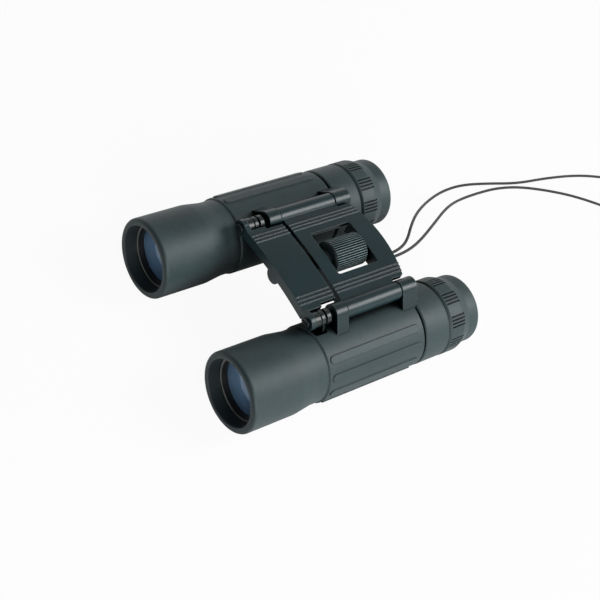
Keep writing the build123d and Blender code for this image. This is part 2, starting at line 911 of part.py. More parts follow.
def bridge_front():
    """The sliding front plate: a front lip, an ear at each end for a focus rod, a boss for the nut."""
    length = front_plate_length
    lip_end = front_plate_start + front_lip_thickness
    with BuildPart() as plate:
        with BuildSketch(slice_plane(1, front_plate_start, front_plate_end)):
            add(arch_section(front_half, plate_thickness))
        extrude(amount=length / 2, both=True)
        with BuildSketch(slice_plane(1, front_plate_start, lip_end)):
            add(arch_section(front_half, plate_thickness + front_lip_drop))
        extrude(amount=front_lip_thickness / 2, both=True)
        for sign in (1, -1):
            notch_x = sign * (front_notch_half + front_half) / 2
            notch_y = at((front_notch_start + front_plate_end) / 2)
            with BuildSketch(Plane.XY):
                with Locations((notch_x, notch_y)):
                    Rectangle(front_half - front_notch_half, front_plate_end - front_notch_start)
            extrude(amount=crown_z, mode=Mode.SUBTRACT)
            with BuildSketch(slice_plane(sign, front_plate_start, ear_end)):
                with Locations((hinge_x, hinge_z)):
                    Circle(ear_r)
                with BuildLine():
                    Polyline(
                        (front_half - plate_thickness, arch_z(front_half)),
                        (hinge_x, hinge_z + ear_r),
                        (hinge_x, hinge_z),
                        (front_half - plate_thickness, arch_z(front_half) - plate_thickness),
                        close=True,
                    )
                make_face()
            extrude(amount=(ear_end - front_plate_start) / 2, both=True)
            with BuildSketch(slice_plane(sign, front_plate_start, ear_end)):
                with Locations((hinge_x, hinge_z)):
                    Circle(rod_stub_r + glue_gap)
            extrude(amount=length, both=True, mode=Mode.SUBTRACT)
        with BuildSketch(slice_plane(1, front_plate_start, front_plate_end)):
            add(boss_section())
        extrude(amount=length / 2, both=True)
        clearance = turned_ring(
            0,
            wheel_z,
            0,
            screw_r + free_gap,
            front_plate_start + boss_floor,
            front_plate_end + overrun,
        )
        add(clearance.part, mode=Mode.SUBTRACT)
        pocket = turned_ring(0, wheel_z, 0, nut_r + glue_gap, nut_start, front_plate_end + overrun)
        add(pocket.part, mode=Mode.SUBTRACT)
    return plate


def bridge_rear():
    """The rear plate: a front lip, hinge tubes, a window between two cross walls, a strap eye."""
    length = rear_plate_end - rear_plate_start
    bearings = ((window_front - bearing_wall, window_front), (window_back, window_back + bearing_wall))
    with BuildPart() as plate:
        with BuildSketch(slice_plane(1, rear_plate_start, rear_plate_end)):
            add(arch_section(rear_join_half, plate_thickness))
        extrude(amount=length / 2, both=True)
        with BuildSketch(slice_plane(1, rear_plate_start, rear_plate_start + rear_lip_thickness)):
            add(arch_section(rear_join_half, plate_thickness + rear_lip_drop))
        extrude(amount=rear_lip_thickness / 2, both=True)
        with BuildSketch(Plane.XY) as outline:
            with BuildLine():
                Polyline(
                    (-rear_notch_half, at(rear_corner)),
                    (-rear_notch_half, at(tube_end)),
                    (-rear_join_half, at(tube_end)),
                    (-rear_join_half, at(rear_plate_start)),
                    (rear_join_half, at(rear_plate_start)),
                    (rear_join_half, at(tube_end)),
                    (rear_notch_half, at(tube_end)),
                    (rear_notch_half, at(rear_corner)),
                )
                ThreePointArc(
                    (rear_notch_half, at(rear_corner)),
                    (0, at(rear_plate_end)),
                    (-rear_notch_half, at(rear_corner)),
                )
            make_face()
            fillet(outline.vertices().group_by(Axis.Y)[-1], rear_corner_round)
            with Locations((0, at((window_front + window_back) / 2))):
                RectangleRounded(
                    2 * window_half, window_back - window_front, window_corner, mode=Mode.SUBTRACT
                )
        extrude(amount=2 * crown_z, mode=Mode.INTERSECT)
        for sign in (1, -1):
            with BuildSketch(slice_plane(sign, tube_start, tube_end)):
                with Locations((hinge_x, hinge_z)):
                    Circle(hinge_tube_r)
            extrude(amount=(tube_end - tube_start) / 2, both=True)
            bore = turned_ring(
                sign * hinge_x,
                hinge_z,
                0,
                hinge_pin_r + pin_gap,
                tube_start - overrun,
                tube_end + overrun,
            )
            add(bore.part, mode=Mode.SUBTRACT)
        for start in (window_front - cross_wall, window_back):
            with BuildSketch(slice_plane(1, start, start + cross_wall)):
                with Locations((0, crown_z - plate_thickness / 2)):
                    Rectangle(
                        2 * window_half,
                        cross_wall_depth - plate_thickness / 2,
                        align=(Align.CENTER, Align.MAX),
                    )
            extrude(amount=cross_wall / 2, both=True)
        for (start, end), bore_r in zip(bearings, (screw_r + pin_gap, journal_r + pin_gap)):
            with BuildSketch(slice_plane(1, start, end)):
                add(boss_section())
            extrude(amount=bearing_wall / 2, both=True)
            bore = turned_ring(0, wheel_z, 0, bore_r, start - overrun, end + overrun)
            add(bore.part, mode=Mode.SUBTRACT)
        lip_hole = turned_ring(
            0,
            wheel_z,
            0,
            screw_r + free_gap,
            rear_plate_start - overrun,
            rear_plate_start + rear_lip_thickness + overrun,
        )
        add(lip_hole.part, mode=Mode.SUBTRACT)
        anchor_top = crown_z - plate_thickness / 2
        with BuildSketch(slice_plane(1, anchor_start, anchor_end)) as eye:
            with Locations((strap_x, (strap_z - anchor_drop + anchor_top) / 2)):
                Rectangle(2 * anchor_half, anchor_top - strap_z + anchor_drop)
            fillet(eye.vertices().group_by(Axis.Y)[0], anchor_round)
            with Locations((strap_x, strap_z)):
                SlotOverall(2 * strap_hole_half, strap_hole_height, mode=Mode.SUBTRACT)
        extrude(amount=anchor_thickness / 2, both=True)
    return plate


def focus_wheel():
    """The ribbed wheel, with a hub that runs between the two bearings."""
    ribs = [
        (
            (wheel_r if corner % 4 in (0, 1) else wheel_r - wheel_rib_depth)
            * cos(radians(corner * 90 / wheel_ribs)),
            wheel_z
            + (wheel_r if corner % 4 in (0, 1) else wheel_r - wheel_rib_depth)
            * sin(radians(corner * 90 / wheel_ribs)),
        )
        for corner in range(4 * wheel_ribs)
    ]
    hub_start = window_front + free_gap
    hub_end = window_back - free_gap
    with BuildPart() as wheel:
        with BuildSketch(slice_plane(1, wheel_start, wheel_end)):
            with BuildLine():
                Polyline(*ribs, close=True)
            make_face()
        extrude(amount=(wheel_end - wheel_start) / 2, both=True)
        blank = turned(
            0,
            wheel_z,
            [
                (0, wheel_start),
                (wheel_r - wheel_edge, wheel_start),
                (wheel_r, wheel_start + wheel_edge),
                (wheel_r, wheel_end - wheel_edge),
                (wheel_r - wheel_edge, wheel_end),
                (0, wheel_end),
            ],
        )
        add(blank.part, mode=Mode.INTERSECT)
        add(turned_ring(0, wheel_z, 0, wheel_hub_r, hub_start, hub_end).part)
        bore = turned_ring(
            0, wheel_z, 0, screw_core_r + glue_gap, hub_start - overrun, hub_end + overrun
        )
        add(bore.part, mode=Mode.SUBTRACT)
    return wheel


def focus_screw():
    """The brass screw: threaded nose, core inside the wheel, and a journal with a clip groove."""
    hub_start = window_front + free_gap
    hub_end = window_back - free_gap
    groove = window_back + bearing_wall + pin_gap
    return turned(
        0,
        wheel_z,
        [
            (0, screw_front),
            (screw_r, screw_front),
            (screw_r, hub_start),
            (screw_core_r, hub_start),
            (screw_core_r, hub_end),
            (journal_r, hub_end),
            (journal_r, groove),
            (screw_clip_groove_r, groove),
            (screw_clip_groove_r, groove + screw_clip_thickness + pin_gap),
            (journal_r, groove + screw_clip_thickness + pin_gap),
            (journal_r, journal_end),
            (0, journal_end),
        ],
    )


def screw_clip():
    """The open spring clip behind the rear bearing."""
    start = window_back + bearing_wall + pin_gap
    end = start + screw_clip_thickness
    with BuildPart() as clip:
        add(turned_ring(0, wheel_z, screw_clip_groove_r + glue_gap, screw_clip_r, start, end).part)
        with BuildSketch(slice_plane(1, start, end)):
            with Locations((0, wheel_z)):
                Rectangle(screw_clip_mouth, 2 * screw_clip_r, align=(Align.CENTER, Align.MAX))
        extrude(amount=screw_clip_thickness, both=True, mode=Mode.SUBTRACT)
    return clip


def strap_knot():
    """The knot that holds both ends of the strap in front of its eye."""
    back = anchor_start - pin_gap
    front = back - knot_length
    with BuildPart() as knot:
        with BuildSketch(turning_plane(strap_x, strap_z)) as profile:
            with Locations((0, front)):
                Rectangle(knot_r, knot_length, align=(Align.MIN, Align.MIN))
            fillet(profile.vertices().group_by(Axis.Y)[0].sort_by(Axis.X)[-1], knot_front_round)
            fillet(profile.vertices().group_by(Axis.Y)[-1].sort_by(Axis.X)[-1], knot_back_round)
        revolve(axis=turning_axis(strap_x, strap_z))
    return knot


def strap_cord():
    """The strap as a tube of straight runs and the largest arcs that they leave room for."""
    points = [Vector(*point) for point in strap_route]
    runs = [after - before for before, after in zip(points, points[1:])]
    radii = [
        strap_arc_share * min(one.length, two.length) / tan(radians(one.get_angle(two)) / 2)
        for one, two in zip(runs, runs[1:])
    ]
    with BuildPart() as cord:
        with BuildLine() as route:
            FilletPolyline(*points, radius=radii)
        with BuildSketch(Plane(origin=points[0], z_dir=runs[0])):
            Circle(cord_d / 2)
        sweep()
    length = sum(edge.length for edge in route.edges())
    print("strap radii", [round(radius, 1) for radius in radii])
    print("strap length", round(length, 1), "volume", round(cord.part.volume, 2))
    print("section times length", round(Circle(cord_d / 2, mode=Mode.PRIVATE).area * length, 2))
    return cord


# Stations of the glass, each element resting on the one before
ring_start = cell_front + objective_ring_inset
ring_end = ring_start + objective_ring_length
crown_vertex = ring_end + glue_gap - sag(crown_front_radius, objective_ring_bore_r)
flint_vertex = crown_vertex + crown_thickness + cement_gap
flint_back = flint_vertex + flint_thickness
field_vertex = ocular_shoulder_start + ocular_shoulder + glue_gap
spacer_start = field_vertex + field_thickness - sag(field_radius, spacer_bore_r) + glue_gap
spacer_end = spacer_start + spacer_length
eye_vertex = spacer_end + glue_gap - sag(eye_radius, spacer_bore_r)
eye_back = eye_vertex + eye_thickness
stop_start = ocular_front + stop_inset

for side, sign, pose in (("left", 1, left_pose), ("right", -1, right_pose)):
    x = sign * barrel_x
    keep(barrel_tube(sign), f"{side}_barrel_tube", pose)
    keep(hood(sign), f"{side}_hood", pose)
    keep(grip(sign), f"{side}_grip", pose)
    keep(objective_cell(sign), f"{side}_objective_cell", pose)
    keep(
        turned_ring(x, axis_z, objective_ring_bore_r, objective_r, ring_start, ring_end),
        f"{side}_objective_ring",
        pose,
    )
    keep(
        lens(x, crown_vertex, objective_r, crown_thickness, crown_front_radius, -cement_radius),
        f"{side}_objective_crown",
        pose,
    )
    keep(
        lens(x, flint_vertex, objective_r, flint_thickness, -cement_radius),
        f"{side}_objective_flint",
        pose,
    )
    keep(focus_arm(sign), f"{side}_focus_arm", pose)
    keep(focus_rod(sign), f"{side}_focus_rod", bridge_pose)
    keep(hinge_pin(sign), f"{side}_hinge_pin", bridge_pose)
    keep(prism_holder(sign), f"{side}_prism_holder", pose)
    keep(penta_prism(sign), f"{side}_penta_prism", pose)
    keep(roof_prism(sign), f"{side}_roof_prism", pose)
    keep(prism_clip(sign), f"{side}_prism_clip", pose)
    keep(ocular_cell(sign), f"{side}_ocular_cell", pose)
    keep(
        turned_ring(
            x, axis_z, stop_bore_r, ocular_front_bore_r - glue_gap, stop_start, stop_start + stop_length
        ),
        f"{side}_field_stop",
        pose,
    )
    keep(
        lens(x, field_vertex, ocular_lens_r, field_thickness, None, -field_radius),
        f"{side}_field_lens",
        pose,
    )
    keep(
        turned_ring(x, axis_z, spacer_bore_r, ocular_lens_r, spacer_start, spacer_end),
        f"{side}_ocular_spacer",
        pose,
    )
    keep(lens(x, eye_vertex, ocular_lens_r, eye_thickness, eye_radius), f"{side}_eye_lens", pose)
    keep(
        turned_ring(
            x,
            axis_z,
            ocular_ring_bore_r,
            ocular_lens_r,
            eye_back + glue_gap,
            eye_back + glue_gap + ocular_ring_length,
        ),
        f"{side}_ocular_ring",
        pose,
    )
    keep(eyecup(sign, left_cup_turn if sign > 0 else right_cup_turn), f"{side}_eyecup", pose)

keep(rear_collar(1, glue_gap), "left_collar", left_pose)
keep(rear_collar(-1, slide_gap), "right_diopter_ring", right_pose)
keep(bridge_front(), "bridge_front", bridge_pose)
keep(bridge_rear(), "bridge_rear", bridge_pose)
keep(rod_screw_pair(), "rod_screws", bridge_pose)
keep(focus_wheel(), "focus_wheel", bridge_pose)
keep(focus_screw(), "focus_screw", bridge_pose)
keep(screw_clip(), "screw_clip", bridge_pose)
keep(
    turned_ring(0, wheel_z, screw_r + pin_gap, nut_r, nut_start + glue_gap, front_plate_end),
    "focus_nut",
    bridge_pose,
)
keep(strap_knot(), "strap_knot", bridge_pose)
keep(strap_cord(), "strap_cord", Location())
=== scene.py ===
# %% [markdown]
# # Dressing a pair of folding binoculars
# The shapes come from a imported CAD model, already in metres and in its final place.
# This lesson leaves those solids where they are and gives them their finishes, replaces the plain
# strap by a real cord, and sets up a small studio with the camera at the picture's angle.

# %% Load the model
import math

import bpy
from mathutils import Matrix, Vector


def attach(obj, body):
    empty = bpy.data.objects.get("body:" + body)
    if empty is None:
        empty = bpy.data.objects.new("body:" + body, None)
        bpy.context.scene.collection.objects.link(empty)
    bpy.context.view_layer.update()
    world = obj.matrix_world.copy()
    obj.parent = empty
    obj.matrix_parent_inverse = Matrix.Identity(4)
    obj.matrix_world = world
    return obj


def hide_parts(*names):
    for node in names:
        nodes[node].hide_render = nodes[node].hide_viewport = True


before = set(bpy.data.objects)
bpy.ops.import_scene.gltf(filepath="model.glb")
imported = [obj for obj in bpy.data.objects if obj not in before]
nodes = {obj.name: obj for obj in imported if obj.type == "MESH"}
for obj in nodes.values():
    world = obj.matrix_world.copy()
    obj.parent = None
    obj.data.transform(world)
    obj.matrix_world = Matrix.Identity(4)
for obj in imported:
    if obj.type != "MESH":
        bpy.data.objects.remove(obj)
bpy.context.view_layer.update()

# %% [markdown]
# ## The camera
# A camera can be aimed by eye, but here its angles were worked out from the round rims, whose
# ellipses say how far each barrel leans away. The lens is long, as in product pictures, and the
# camera is rolled so that the barrels run up to the right.

# %% Place the camera
azimuth, elevation, roll = (math.radians(x) for x in (32.603, 47.488, 30.266))
camera_distance = 0.5813
aim = Vector((0, 0, 0.017))
sensor_width_mm = 36
focal_length_mm = 82.69
shift_across, shift_upright = -0.0088, -0.0267
nearest_seen = 0.01

backwards = Vector(
    (
        math.sin(azimuth) * math.cos(elevation),
        -math.cos(azimuth) * math.cos(elevation),
        math.sin(elevation),
    )
)
level_right = (-backwards).cross(Vector((0, 0, 1))).normalized()
level_up = level_right.cross(-backwards)
camera_right = level_right * math.cos(roll) + level_up * math.sin(roll)
camera_up = level_up * math.cos(roll) - level_right * math.sin(roll)

lens = bpy.data.cameras.new("camera")
lens.sensor_width = sensor_width_mm
lens.lens = focal_length_mm
lens.shift_x = shift_across
lens.shift_y = shift_upright
lens.clip_start = nearest_seen
camera = bpy.data.objects.new("camera", lens)
turned = Matrix((camera_right, camera_up, backwards)).transposed().to_4x4()
camera.matrix_world = Matrix.Translation(aim + backwards * camera_distance) @ turned
bpy.context.scene.collection.objects.link(camera)
bpy.context.scene.camera = camera
print("camera at", [round(x, 4) for x in camera.matrix_world.translation])

# %% [markdown]
# ## The strap
# The strap is one thin braided cord, doubled into a loop. Both ends are knotted under the rear
# plate. A Bezier line would need handles at each point. A NURBS spline needs only the points,
# which pull the cord into smooth curves, and with the end points held it starts and ends exactly
# at the knot. The route is the one that the CAD model follows, in millimetres.

# %% Lay the strap
millimetre = 0.001
strap_diameter = 0.0013
spline_order = 3
sides_per_quarter = 4
steps_per_point = 10
strap_route = [
    (8.35, 23.4, 34.84),
    (8.35, 33.2, 34.84),
    (5.9, 42.6, 32.7),
    (2.3, 49.3, 31.2),
    (-3.9, 56.6, 30.1),
    (-13.1, 71.0, 22.7),
    (-24.7, 94.6, 9.0),
    (-31.3, 113.6, 1.7),
    (-31.9, 127.5, 0.7),
    (-28.3, 142.5, 0.7),
    (-23.2, 159.5, 0.7),
    (-20.9, 179.5, 0.7),
    (-16.9, 199.5, 0.7),
    (-11.0, 214.5, 0.7),
    (-2.0, 233.0, 0.7),
    (6.5, 244.5, 0.7),
    (17.5, 245.0, 0.7),
    (23.5, 234.5, 0.7),
    (21.0, 221.5, 0.7),
    (13.5, 209.5, 0.7),
    (3.3, 198.7, 0.7),
    (-6.8, 186.3, 0.7),
    (-14.9, 172.3, 0.7),
    (-20.9, 159.1, 0.7),
    (-23.9, 147.2, 0.7),
    (-24.8, 135.3, 0.7),
    (-23.3, 117.2, 3.0),
    (-16.9, 99.2, 11.0),
    (-4.8, 75.0, 22.6),
    (4.0, 56.8, 29.6),
    (8.1, 45.6, 32.6),
    (10.25, 34.6, 34.89),
    (10.25, 23.4, 34.89),
]


def cord_curve(name, points, radius, closed=False):
    """A round cord along one smooth spline."""
    data = bpy.data.curves.new(name, "CURVE")
    data.dimensions = "3D"
    data.bevel_depth = radius / millimetre
    data.bevel_resolution = sides_per_quarter
    data.resolution_u = steps_per_point
    spline = data.splines.new("NURBS")
    spline.points.add(len(points) - 1)
    for control, point in zip(spline.points, points):
        control.co = (*[x * millimetre for x in point], 1)
        control.radius = millimetre
    spline.order_u = spline_order
    spline.use_cyclic_u = closed
    spline.use_endpoint_u = not closed
    cord = bpy.data.objects.new(name, data)
    bpy.context.scene.collection.objects.link(cord)
    return cord


strap = cord_curve("strap", strap_route, strap_diameter / 2)
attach(strap, "bridge")
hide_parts("strap_cord")
print("strap control points:", len(strap_route))

# %% [markdown]
# ## The knot
# In front of the strap's eye both ends are tied together. A lump would do from afar, but a closed
# trefoil line with the cord's own thickness gives the crossing turns of a real stopper knot.

# %% Tie the knot
knot_centre = Vector((9.30, 22.55, 34.87))
knot_size = 0.52
knot_depth = -1.5
knot_steps = 36
knot_turns = []
for step in range(knot_steps):
    t = math.tau * step / knot_steps
    across = math.sin(t) + 2 * math.sin(2 * t)
    upright = math.cos(t) - 2 * math.cos(2 * t)
    along = knot_depth * math.sin(3 * t)
    knot_turns.append(knot_centre + knot_size * Vector((across, along, upright)))
knot = cord_curve("strap_knot_turns", knot_turns, strap_diameter / 2, closed=True)
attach(knot, "bridge")
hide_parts("strap_knot")
print("knot turns:", len(knot_turns), "points")

# %% [markdown]
# ## Writing finishes as sums
# A finish is a small graph of shader nodes. Wiring it link by link is hard to read, so one class
# wraps an output socket and turns Python's operators into Math nodes. A second class makes
# every other kind of node from its type, its settings and its inputs.


# %% Two helpers for shader graphs
class Wire:
    """An output socket that can be used in sums."""

    def __init__(self, finish, socket):
        self.finish = finish
        self.socket = socket

    def sum(self, operation, first, second):
        return self.finish.node("ShaderNodeMath", {"operation": operation}, {0: first, 1: second})

    def __add__(self, other):
        return self.sum("ADD", self, other)

    def __radd__(self, other):
        return self.sum("ADD", other, self)

    def __sub__(self, other):
        return self.sum("SUBTRACT", self, other)

    def __rsub__(self, other):
        return self.sum("SUBTRACT", other, self)

    def __mul__(self, other):
        return self.sum("MULTIPLY", self, other)

    def __rmul__(self, other):
        return self.sum("MULTIPLY", other, self)

    def __pow__(self, other):
        return self.sum("POWER", self, other)

    def __rpow__(self, other):
        return self.sum("POWER", other, self)

    def __abs__(self):
        return self.sum("ABSOLUTE", self, 0)

    def above(self, level):
        return self.sum("GREATER_THAN", self, level)

    def largest(self, other):
        return self.sum("MAXIMUM", self, other)


class Finish:
    """A material, or a world, and the nodes of its graph."""

    def __init__(self, name, owner=None):
        self.owner = owner or bpy.data.materials.new(name)
        self.owner.use_nodes = True
        self.tree = self.owner.node_tree
        self.tree.nodes.clear()

    def node(self, kind, settings=None, sockets=None, output=0):
        """A node with its settings and inputs, and the one output that is used."""
        made = self.tree.nodes.new(kind)
        for key, value in (settings or {}).items():
            setattr(made, key, value)
        for key, value in (sockets or {}).items():
            if isinstance(value, Wire):
                self.tree.links.new(value.socket, made.inputs[key])
            else:
                made.inputs[key].default_value = value
        return Wire(self, made.outputs[output]) if made.outputs else None

    def spot(self):
        """The place on the surface, in metres from the model's origin."""
        return self.node("ShaderNodeTexCoord", output="Object")

    def noise(self, place, scale, detail=3.0, roughness=0.55):
        """Soft noise, with about as many lumps to the metre as its scale says."""
        sockets = {"Vector": place, "Scale": scale, "Detail": detail, "Roughness": roughness}
        return self.node("ShaderNodeTexNoise", None, sockets, "Fac")

    def stretch(self, place, scale):
        return self.node("ShaderNodeVectorMath", {"operation": "MULTIPLY"}, {0: place, 1: scale})

    def spread(self, value, low, high, to_low=0.0, to_high=1.0):
        """A value's range, moved to another range and held inside it."""
        sockets = {"Value": value, 1: low, 2: high, 3: to_low, 4: to_high}
        return self.node("ShaderNodeMapRange", {"clamp": True}, sockets)

    def mix(self, share, first, second):
        sockets = {0: share, 6: first, 7: second}
        return self.node("ShaderNodeMix", {"data_type": "RGBA"}, sockets, 2)

    def rounded(self, width):
        """The surface's direction, with every edge eased over a small width."""
        return self.node("ShaderNodeBevel", {"samples": 6}, {"Radius": width})

    def worn_edges(self, width):
        """1 along sharp edges and 0 on flats, from how far the eased surface turns."""
        facing = self.node("ShaderNodeNewGeometry", output="Normal")
        sockets = {0: self.rounded(width), 1: facing}
        agreement = self.node("ShaderNodeVectorMath", {"operation": "DOT_PRODUCT"}, sockets, 1)
        return self.spread(agreement, low=0.99, high=0.8)

    def crease(self, width):
        """1 deep in a corner and 0 on surfaces with nothing near them."""
        sockets = {"Distance": width}
        return 1 - self.node("ShaderNodeAmbientOcclusion", {"samples": 8}, sockets, "AO")

    def along(self, place, axis):
        return self.node("ShaderNodeSeparateXYZ", None, {0: place}, "XYZ".index(axis))

    def from_axis(self, place, axis, twin=True):
        """The distance from a fore-and-aft axis, or from the nearer one of a mirrored pair."""
        across = self.along(place, "X")
        across = (abs(across) if twin else across) - axis.x
        upright = self.along(place, "Z") - axis.z
        return (across * across + upright * upright) ** 0.5

    def bump(self, height, strength, distance, over=None):
        sockets = {"Height": height, "Strength": strength, "Distance": distance}
        if over:
            sockets["Normal"] = over
        return self.node("ShaderNodeBump", None, sockets)

    def skin(self, **sockets):
        """The surface itself: one Principled shader, linked to the output."""
        named = {}
        for key, value in sockets.items():
            named[key.replace("_", " ").title().replace("Ior", "IOR")] = value
        self.show(self.node("ShaderNodeBsdfPrincipled", None, named))
        return self.owner

    def show(self, surface):
        """A surface, linked to the output of the material or the world."""
        kind = "World" if isinstance(self.owner, bpy.types.World) else "Material"
        self.node("ShaderNodeOutput" + kind, None, {"Surface": surface})


def toned(colour, tone=1):
    """A colour made darker or paler, ready for a colour socket."""
    return (*[tone * part for part in colour], 1)


print("helpers ready:", Wire.__name__, "and", Finish.__name__)

# %% [markdown]
# ## Rubber armour
# The sleeves are moulded rubber: nearly black with a trace of green, matt, with a fine leathery
# grain that shows only as a soft broken highlight. One flat colour would look like painted card,
# so noise at three sizes gives clouds, dust and grain. Grain finer than a pixel still matters,
# because it spreads the light. Handling leaves edges a little paler. Creases, grooves, the hoods'
# bores and front rims, and the sides that face the bridge and the other barrel get painted shade:
# their colour is darkened, since little light gets there. A black colour with a metallic share
# also takes their mirror-like shine away, as painted shade on their reflections.
#
# The bores and grooves are found by where a surface lies. Those places are read from the solids'
# own boxes, and as the two barrels mirror each other, the left one's measures serve both.


# %% Measure the hoods and the eyecups
def solid_box(name):
    """The lowest and the highest corner of one solid."""
    columns = list(zip(*nodes[name].bound_box))
    return Vector([min(column) for column in columns]), Vector([max(column) for column in columns])


hood_low, hood_high = solid_box("left_hood")
barrel_axis = (hood_low + hood_high) / 2
front_y = hood_low.y
hood_bore_radius = 14.1 * millimetre

cup_low, cup_high = solid_box("left_eyecup")
cup_radius = (cup_high.x - cup_low.x) / 2
cup_grooves = {
    "start": cup_low.y + 1.1 * millimetre,
    "end": cup_low.y + 7.8 * millimetre,
    "floor": cup_radius - 0.5 * millimetre,
    "top": cup_radius - 0.15 * millimetre,
}
print("barrel axis at", [round(x, 4) for x in barrel_axis], "eyecup radius", round(cup_radius, 4))

# %% Rubber measures
rubber_dark = (0.0245, 0.0450, 0.0485)
rubber_pale = (0.0395, 0.0660, 0.0700)
rubber_worn = (0.085, 0.098, 0.1)
rubber_shade = (0.003, 0.0055, 0.006)
rubber_sheen = (0.75, 0.88, 0.9)
rubber_edge, rubber_crease, shelter_reach = 0.5 * millimetre, 0.9 * millimetre, 60 * millimetre
eased_edge = 0.4 * millimetre
rubber_grain_depth = 0.06 * millimetre
rubber_wear_share, deepest_shade = 0.2, 0.88
bore_from, bore_to, bore_shade = 0.7 * millimetre, 0.2 * millimetre, 0.9
rim_from, rim_to = 1.2 * millimetre, 0.4 * millimetre
rim_shade, rim_shine_shade = 0.5, 0.4
shelter_roughness = 0.25
print("rubber colours from", rubber_dark, "to", rubber_pale)


# %% Rubber finish
def rubber_finish(name, grain_size, tone, grooves=None, bore=None):
    f = Finish(name)
    spot = f.spot()
    grain = f.noise(spot, 1 / grain_size, detail=4.0, roughness=0.6)
    cloud = f.noise(spot, 55.0)
    dust = f.noise(spot, 420.0, detail=5.0, roughness=0.7)

    cloudy = f.spread(cloud * 0.6 + dust * 0.4, 0.35, 0.68)
    colour = f.mix(cloudy, toned(rubber_dark, tone), toned(rubber_pale, tone))
    worn = f.worn_edges(rubber_edge) * f.spread(dust, 0.3, 0.6)
    colour = f.mix(worn * rubber_wear_share, colour, toned(rubber_worn))

    # Painted shade: occlusion darkens creases, grooves, the bores, the front rims and the
    # sheltered sides, and a black metallic share dims their reflections.
    closed_in = f.crease(shelter_reach)
    sheltered_shade = f.spread(closed_in, 0.42, 0.66)
    shine_shade = f.spread(closed_in, 0.5, 0.68, to_high=0.95)
    shade = f.crease(rubber_crease)
    if grooves:
        depth = f.spread(f.from_axis(spot, barrel_axis), grooves["top"], grooves["floor"])
        station = f.along(spot, "Y")
        between = station.above(grooves["start"]) * (1 - station.above(grooves["end"]))
        shade = shade.largest(depth * between)
    if bore:
        radius = f.from_axis(spot, barrel_axis)
        inside = f.spread(radius, bore + bore_from, bore + bore_to)
        rim = f.spread(f.along(spot, "Y") - front_y, rim_from, rim_to) * (1 - inside)
        shade = shade.largest(inside * bore_shade).largest(rim * rim_shade)
        sheltered_shade = sheltered_shade * (1 - inside)
        shine_shade = (shine_shade * (1 - inside)).largest(rim * rim_shine_shade)
    colour = f.mix(shade.largest(sheltered_shade) * deepest_shade, colour, toned(rubber_shade))

    rough = f.spread(grain * 0.6 + cloud * 0.4, 0.3, 0.7, to_low=0.46, to_high=0.6)
    return f.skin(
        base_color=colour,
        metallic=shine_shade,
        roughness=rough + sheltered_shade * shelter_roughness,
        normal=f.bump(grain, 0.25, rubber_grain_depth, f.rounded(eased_edge)),
        specular_ior_level=0.5,
        sheen_weight=0.05,
        sheen_roughness=0.45,
        sheen_tint=toned(rubber_sheen),
    )


hood_rubber = rubber_finish("hood_rubber", 0.45 * millimetre, 1.0, bore=hood_bore_radius)
grip_rubber = rubber_finish("grip_rubber", 0.55 * millimetre, 1.04)
cup_rubber = rubber_finish("eyecup_rubber", 0.4 * millimetre, 1.04, grooves=cup_grooves)
print("rubber finishes:", [m.name for m in (hood_rubber, grip_rubber, cup_rubber)])

# %% [markdown]
# ## Satin black metal
# The two bridge plates, the hinge tubes and the lugs are painted metal, smoother than the rubber.
# Paint thins along sharp edges. Wear could be painted on by hand, but a bevel lookup finds every
# edge by itself and makes it slightly paler. On the plates this pale edge colour is laid on
# strongly, so along their ridges it is partly wear and partly a painted highlight. A faint long
# grain along the plates and a finer orange peel break up the highlight. Corners get painted
# shade, and the walls of the window and of the gap, which lie deep, get painted shade that
# darkens them and takes their shine away, as on the rubber.

# %% Paint measures
# The pale edge colour: wear, and on the plates also a painted highlight on the ridges.
paint_wear_and_highlight = (0.16, 0.24, 0.25)
paint_shade = (0.002, 0.004, 0.0045)
paint_edge, paint_crease, paint_shade_reach = 0.3 * millimetre, 0.8 * millimetre, 12 * millimetre
drawn_grain = (2600.0, 90.0, 2600.0)
paint_skin_depth = 0.03 * millimetre
print("paint wears to", paint_wear_and_highlight)


# %% Painted metal finish
def painted_finish(name, colour, smooth, rough, grain, wear_and_highlight=0.55, gloss=0.5):
    f = Finish(name)
    spot = f.spot()
    drawn = f.noise(f.stretch(spot, drawn_grain), 1.0, detail=2.0)
    peel = f.noise(spot, 2200.0, detail=2.0)
    cloud = f.noise(spot, 70.0)
    skin = drawn * grain + peel * (1 - grain)

    base = f.mix(f.spread(cloud, 0.35, 0.7), toned(colour, 0.82), toned(colour, 1.18))
    # Paler edges: wear, and on the plates, where this share is high, also a painted highlight
    # along the ridges.
    worn = f.worn_edges(paint_edge) * f.spread(peel, 0.3, 0.6)
    base = f.mix(worn * wear_and_highlight, base, toned(paint_wear_and_highlight))
    # Painted shade: occlusion darkens corners and the deep walls of the window and the gap, and a
    # black metallic share dims their reflections.
    deep_shade = f.spread(f.crease(paint_shade_reach), 0.34, 0.58, to_high=0.95)
    shade = f.spread(f.crease(paint_crease), 0.05, 0.6, to_high=0.9).largest(deep_shade)
    return f.skin(
        base_color=f.mix(shade, base, toned(paint_shade)),
        metallic=deep_shade,
        roughness=f.spread(skin, 0.3, 0.7, smooth, rough),
        normal=f.bump(skin, 0.1, paint_skin_depth, f.rounded(eased_edge)),
        specular_ior_level=gloss,
    )


plate_black = (0.0060, 0.0252, 0.0305)
lug_black = (0.010, 0.0275, 0.0305)
pin_black = (0.012, 0.0175, 0.019)
plate_paint = painted_finish(
    "plate_paint", plate_black, smooth=0.27, rough=0.4, grain=0.6, wear_and_highlight=0.9
)
lug_paint = painted_finish("lug_paint", lug_black, smooth=0.24, rough=0.36, grain=0.2, gloss=0.45)
rod_black = painted_finish("rod_black", pin_black, smooth=0.2, rough=0.3, grain=0.3)
print("painted finishes:", [m.name for m in (plate_paint, lug_paint, rod_black)])

